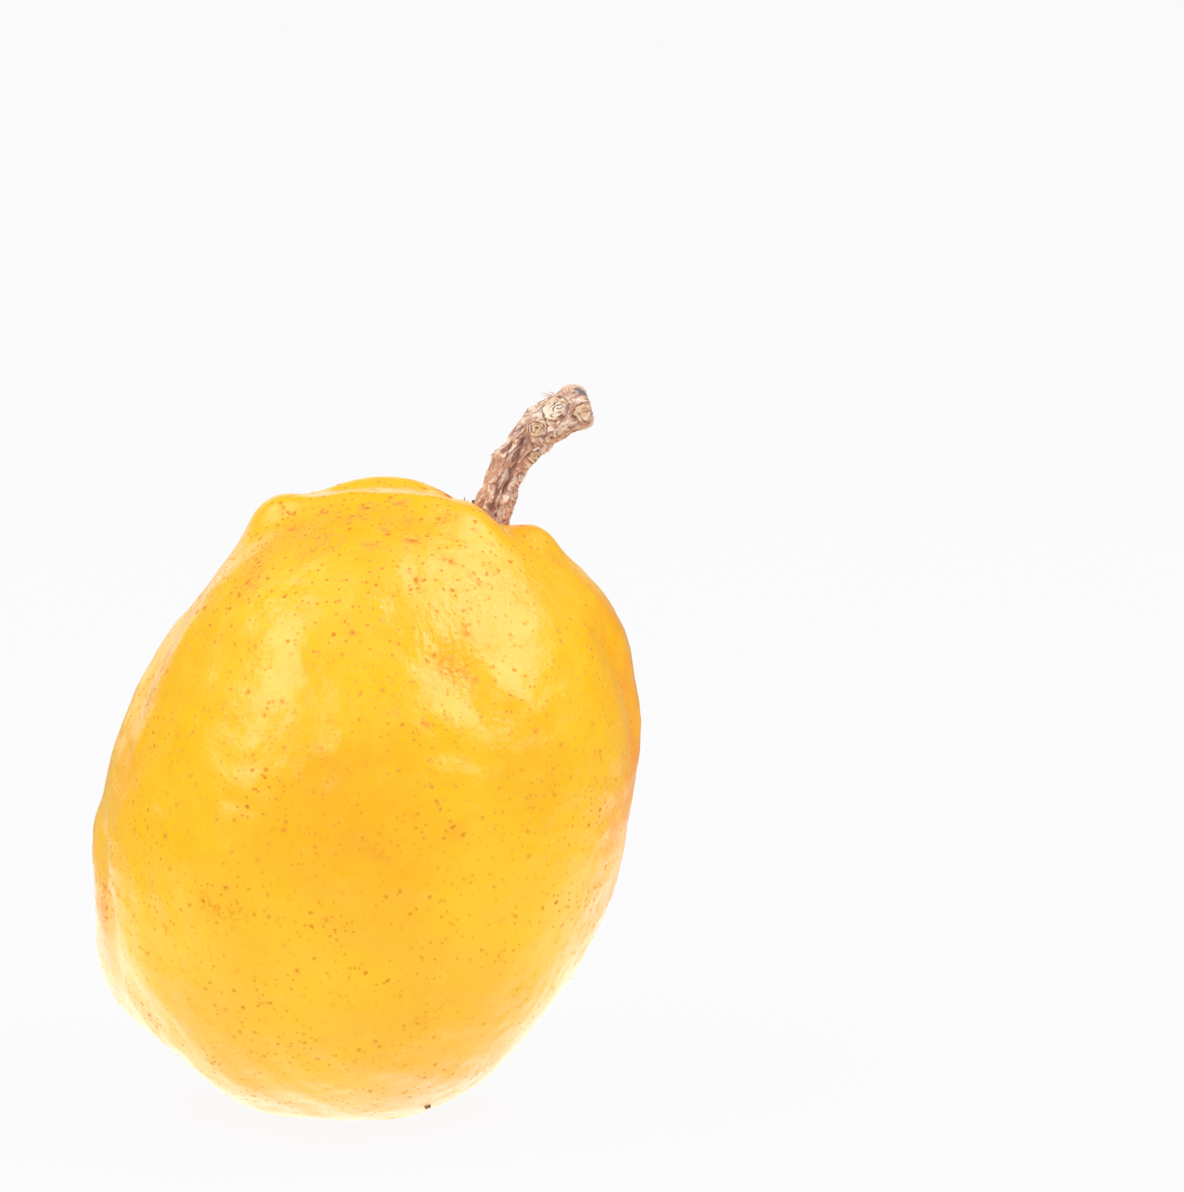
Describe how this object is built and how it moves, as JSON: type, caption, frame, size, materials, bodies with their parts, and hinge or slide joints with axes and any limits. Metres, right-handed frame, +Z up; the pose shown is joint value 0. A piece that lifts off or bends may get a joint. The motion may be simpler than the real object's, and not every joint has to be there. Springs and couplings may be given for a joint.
{
  "type": "jocote",
  "caption": "Ripe yellow jocote as picked, a lumpy plum-like fruit with its bent woody stem, resting on a small flat spot.",
  "frame": {"origin": "on the flat spot that the fruit rests on, under its middle", "axes": "+Z up, -Y to the front, +X to the side that the stem stands on and leans to"},
  "size_m": [0.036, 0.033, 0.048],
  "materials": {
    "fruit_skin": "smooth waxy fruit skin with fine brown specks",
    "stem_bark": "rough furrowed bark with pale ring scars",
    "dry_calyx": "matt and dry"
  },
  "bodies": {
    "root": {"fruit": "fruit_skin", "stem": "stem_bark", "calyx": "dry_calyx"}
  },
  "joints": []
}
